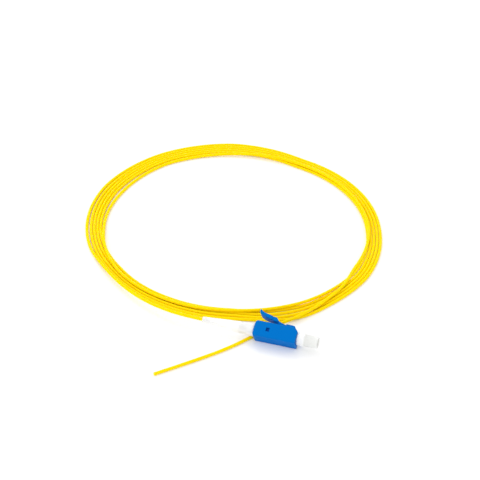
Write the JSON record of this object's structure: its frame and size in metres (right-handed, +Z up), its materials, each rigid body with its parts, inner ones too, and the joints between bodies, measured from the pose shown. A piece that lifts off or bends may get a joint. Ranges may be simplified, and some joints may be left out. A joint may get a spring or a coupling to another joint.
{
  "type": "fiber pigtail",
  "caption": "Fibre pigtail: square latching plug with a 1.25 mm ferrule, tapered boot and dust cap on a loosely coiled 0.9 mm buffered fibre, cut bare.",
  "frame": {"origin": "on the surface that the pigtail lies on, under the middle of the capped plug from boot to cap", "axes": "+X along the plug's axis from the boot towards the ferrule tip and cap, +Z up from the surface; the plug lies rolled 62 degrees about +X, its latch lever towards +Y and up, and the coil lies on the +Y side"},
  "size_m": [0.0875, 0.111, 0.007],
  "materials": {
    "blue_housing": "satin moulded",
    "blue_insert": "satin moulded",
    "white_boot": "satin elastomer",
    "clear_cap": "translucent",
    "yellow_jacket": "satin extruded",
    "white_ceramic": "polished",
    "nickel_barrel": "turned",
    "spring_steel": "drawn wire",
    "clear_glass": "polished",
    "clear_coating": "clear"
  },
  "bodies": {
    "plug_and_cable": {"connector_housing": "blue_housing", "rear_insert": "blue_insert", "strain_relief_boot": "white_boot", "cable_in_boot": "yellow_jacket", "cable_lead": "yellow_jacket", "cable_coil": "yellow_jacket", "cable_tail": "yellow_jacket"},
    "latch": {"latch_lever": "blue_housing"},
    "ferrule_assembly": {"ferrule": "white_ceramic", "ferrule_flange": "nickel_barrel", "glass_fibre": "clear_glass", "fibre_coating": "clear_coating", "ferrule_spring": "spring_steel"},
    "cap": {"dust_cap": "clear_cap"}
  },
  "joints": [
    {"name": "latch_press", "type": "hinge", "parent": "plug_and_cable", "child": "latch", "pos_m": [0.00649, 0.00051, 0.00394], "axis": [0, -0.4695, 0.8829], "range_deg": [0, 10], "stiffness_Nm_per_rad": 0.03},
    {"name": "ferrule_push", "type": "slide", "parent": "plug_and_cable", "child": "ferrule_assembly", "axis": [-1, 0, 0], "range_m": [0, 0.0008], "stiffness_N_per_m": 1000, "deforming": ["ferrule_spring"]},
    {"name": "cap_pull", "type": "slide", "parent": "plug_and_cable", "child": "cap", "axis": [1, 0, 0], "range_m": [0, 0.012]}
  ]
}
